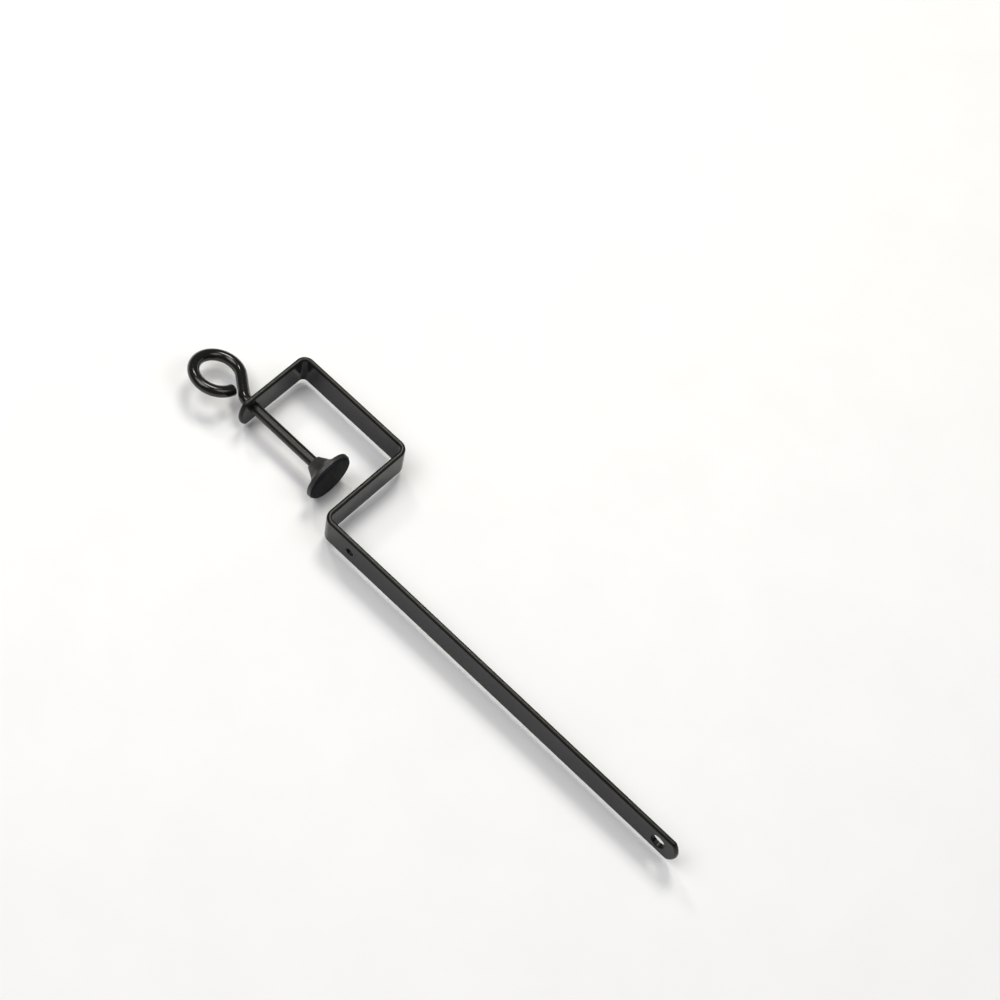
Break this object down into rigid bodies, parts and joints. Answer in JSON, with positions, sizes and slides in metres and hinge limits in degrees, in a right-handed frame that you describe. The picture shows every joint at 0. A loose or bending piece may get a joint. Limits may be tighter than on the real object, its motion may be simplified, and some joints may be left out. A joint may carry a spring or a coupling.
{
  "type": "table tennis net clamp",
  "caption": "Bent steel strip clamp with a long slotted net post, an eye screw and a swivel pad that grips the table edge from below.",
  "frame": {"origin": "where the screw's axis meets the inner face of the jaw, the face that rests on the table top", "axes": "+X along the screw's axis, from the arm to the jaw and on along the net post; +Y from the post to the back of the clamp; +Z across the strip's width, up when the clamp lies on its side"},
  "size_m": [0.2361, 0.0397, 0.0186],
  "materials": {
    "strip_enamel": "black stoving enamel, glossy, with a fine orange peel",
    "screw_enamel": "black enamel, glossy, thinner on the thread",
    "pad_plastic": "black moulded plastic, satin",
    "pad_rubber": "dull black, finely grained",
    "washer_steel": "plain zinced"
  },
  "bodies": {
    "bracket": {"bracket": "strip_enamel"},
    "washer": {"retaining_washer": "washer_steel"},
    "screw": {"eye_screw": "screw_enamel"},
    "pad": {"pad_body": "pad_plastic", "pad_facing": "pad_rubber"}
  },
  "joints": [
    {"name": "screw_feed", "type": "slide", "parent": "bracket", "child": "washer", "axis": [1, 0, 0], "range_m": [-0.0277, 0.0009]},
    {"name": "screw_turn", "type": "hinge", "parent": "washer", "child": "screw", "pos_m": [-0.0135, 0, 0], "axis": [1, 0, 0], "range_deg": [-14220, 450]},
    {"name": "pad_swivel", "type": "hinge", "parent": "washer", "child": "pad", "pos_m": [-0.0135, 0, 0], "axis": [1, 0, 0], "continuous": true}
  ],
  "couplings": [
    {"joint": "screw_feed", "follows": "screw_turn", "m_per_rad": 0.00011141}
  ]
}
